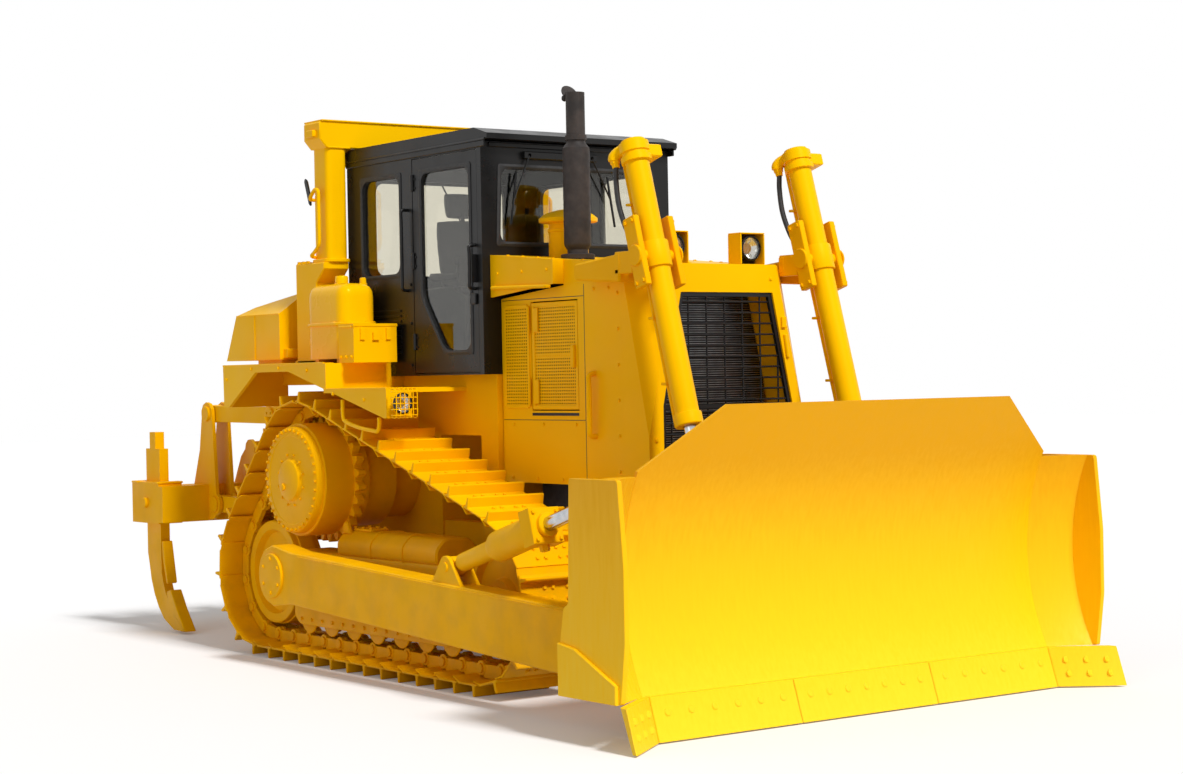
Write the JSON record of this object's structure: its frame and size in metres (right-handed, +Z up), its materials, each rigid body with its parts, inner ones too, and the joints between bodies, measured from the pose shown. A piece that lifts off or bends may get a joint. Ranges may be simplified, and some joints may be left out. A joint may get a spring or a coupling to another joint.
{
  "type": "bulldozer",
  "caption": "Track-type bulldozer with a semi-U blade, black glazed cab under a yellow rollover frame, and a rear multi-shank ripper.",
  "frame": {"origin": "middle of the machine's length and width, on the ground", "axes": "+Z up; the machine faces -Y; +X is its left side"},
  "size_m": [3.708, 7.5475, 3.753],
  "materials": {
    "yellow_paint": "smooth chrome-yellow machine enamel",
    "frame_paint": "chrome-yellow enamel over castings and plate",
    "blade_paint": "chrome-yellow enamel over rolled plate",
    "track_paint": "chrome-yellow enamel sprayed over track links and shoes",
    "black_paint": "semi-gloss black enamel",
    "cab_glass": "clear safety glass",
    "rod_steel": "hard-chromed rod",
    "exhaust_metal": "heat-dulled black-brown coating",
    "engine_iron": "cast block",
    "console_plastic": "grained black moulding",
    "seat_vinyl": "black vinyl upholstery"
  },
  "bodies": {
    "tractor": {"track_right": "track_paint", "roller_frame_right": "frame_paint", "final_drive_right": "frame_paint", "cylinder_bracket_right": "frame_paint", "side_panel_right": "yellow_paint", "headlamp_right": "yellow_paint", "fender_right": "yellow_paint", "side_window_right": "cab_glass", "track_left": "track_paint", "roller_frame_left": "frame_paint", "final_drive_left": "frame_paint", "cylinder_bracket_left": "frame_paint", "side_panel_left": "yellow_paint", "headlamp_left": "yellow_paint", "fender_left": "yellow_paint", "side_window_left": "cab_glass", "main_frame": "frame_paint", "ripper_mount": "frame_paint", "radiator_guard": "yellow_paint", "hood_top": "yellow_paint", "precleaner": "yellow_paint", "hydraulic_tank": "yellow_paint", "tool_box": "yellow_paint", "battery_box": "yellow_paint", "fuel_tank": "yellow_paint", "rops_frame": "yellow_paint", "cab_shell": "black_paint", "radiator_core": "black_paint", "grille": "black_paint", "engine_block": "engine_iron", "exhaust_stack": "exhaust_metal", "windshield": "cab_glass", "rear_window": "cab_glass", "operator_console": "console_plastic", "operator_seat": "seat_vinyl"},
    "blade_assembly": {"blade": "blade_paint", "cutting_edge": "blade_paint", "push_arm_right": "frame_paint", "push_arm_left": "frame_paint", "tilt_cylinder_right": "frame_paint", "tilt_cylinder_left": "frame_paint"},
    "ripper_lower_link": {"ripper_lower_link": "frame_paint"},
    "ripper_upper_link": {"ripper_upper_link": "frame_paint"},
    "ripper_carriage": {"ripper_beam": "frame_paint", "ripper_shank_right": "frame_paint", "ripper_shank_center": "frame_paint", "ripper_shank_left": "frame_paint"},
    "ripper_barrels": {"ripper_barrels": "frame_paint"},
    "ripper_rods": {"ripper_rods": "rod_steel"},
    "lift_barrel_right": {"lift_barrel_right": "yellow_paint"},
    "lift_rod_right": {"lift_rod_right": "rod_steel"},
    "cab_door_right": {"cab_door_right": "black_paint", "door_glass_right": "cab_glass"},
    "engine_door_right": {"engine_door_right": "yellow_paint"},
    "lift_barrel_left": {"lift_barrel_left": "yellow_paint"},
    "lift_rod_left": {"lift_rod_left": "rod_steel"},
    "cab_door_left": {"cab_door_left": "black_paint", "door_glass_left": "cab_glass"},
    "engine_door_left": {"engine_door_left": "yellow_paint"}
  },
  "joints": [
    {"name": "blade_lift", "type": "hinge", "parent": "tractor", "child": "blade_assembly", "pos_m": [0, 0.75, 0.62], "axis": [-1, 0, 0], "range_deg": [-6.8, 14.5]},
    {"name": "lift_cylinder_swing_right", "type": "hinge", "parent": "tractor", "child": "lift_barrel_right", "pos_m": [-0.636, -2.44, 2.62], "axis": [-1, 0, 0], "range_deg": [-3.5, 7.4]},
    {"name": "lift_cylinder_extend_right", "type": "slide", "parent": "lift_barrel_right", "child": "lift_rod_right", "axis": [0, -0.2785, -0.9604], "range_m": [-0.93, 0.44]},
    {"name": "lift_cylinder_swing_left", "type": "hinge", "parent": "tractor", "child": "lift_barrel_left", "pos_m": [0.636, -2.44, 2.62], "axis": [-1, 0, 0], "range_deg": [-3.5, 7.4]},
    {"name": "lift_cylinder_extend_left", "type": "slide", "parent": "lift_barrel_left", "child": "lift_rod_left", "axis": [0, -0.2785, -0.9604], "range_m": [-0.93, 0.44]},
    {"name": "ripper_lift", "type": "hinge", "parent": "tractor", "child": "ripper_lower_link", "pos_m": [0, 2.09, 0.97], "axis": [1, 0, 0], "range_deg": [-38, 30]},
    {"name": "ripper_upper_swing", "type": "hinge", "parent": "tractor", "child": "ripper_upper_link", "pos_m": [0, 2.2, 1.675], "axis": [1, 0, 0], "range_deg": [-38.5, 30.5]},
    {"name": "ripper_carriage_level", "type": "hinge", "parent": "ripper_lower_link", "child": "ripper_carriage", "pos_m": [0, 3.14, 0.98], "axis": [1, 0, 0], "range_deg": [-30.5, 38.5]},
    {"name": "ripper_cylinder_swing", "type": "hinge", "parent": "tractor", "child": "ripper_barrels", "pos_m": [0, 2.03, 0.9], "axis": [1, 0, 0], "range_deg": [-32, 25]},
    {"name": "ripper_cylinder_extend", "type": "slide", "parent": "ripper_barrels", "child": "ripper_rods", "axis": [0, 0.9131, 0.4077], "range_m": [-0.29, 0.23]},
    {"name": "cab_door_right_hinge", "type": "hinge", "parent": "tractor", "child": "cab_door_right", "pos_m": [-0.768, 0.038, 2.68], "axis": [0, 0, -1], "range_deg": [0, 90]},
    {"name": "engine_door_right_hinge", "type": "hinge", "parent": "tractor", "child": "engine_door_right", "pos_m": [-0.626, -1.13, 2.05], "axis": [0, 0, -1], "range_deg": [0, 100]},
    {"name": "cab_door_left_hinge", "type": "hinge", "parent": "tractor", "child": "cab_door_left", "pos_m": [0.768, 0.038, 2.68], "axis": [0, 0, 1], "range_deg": [0, 90]},
    {"name": "engine_door_left_hinge", "type": "hinge", "parent": "tractor", "child": "engine_door_left", "pos_m": [0.626, -1.13, 2.05], "axis": [0, 0, 1], "range_deg": [0, 100]}
  ],
  "couplings": [
    {"joint": "lift_cylinder_swing_right", "follows": "blade_lift", "ratio": 0.50625},
    {"joint": "lift_cylinder_extend_right", "follows": "blade_lift", "m_per_rad": -3.658},
    {"joint": "lift_cylinder_swing_left", "follows": "blade_lift", "ratio": 0.50625},
    {"joint": "lift_cylinder_extend_left", "follows": "blade_lift", "m_per_rad": -3.658},
    {"joint": "ripper_upper_swing", "follows": "ripper_lift", "ratio": 1},
    {"joint": "ripper_carriage_level", "follows": "ripper_lift", "ratio": -1},
    {"joint": "ripper_cylinder_swing", "follows": "ripper_lift", "ratio": 0.81896},
    {"joint": "ripper_cylinder_extend", "follows": "ripper_lift", "m_per_rad": 0.43066}
  ]
}
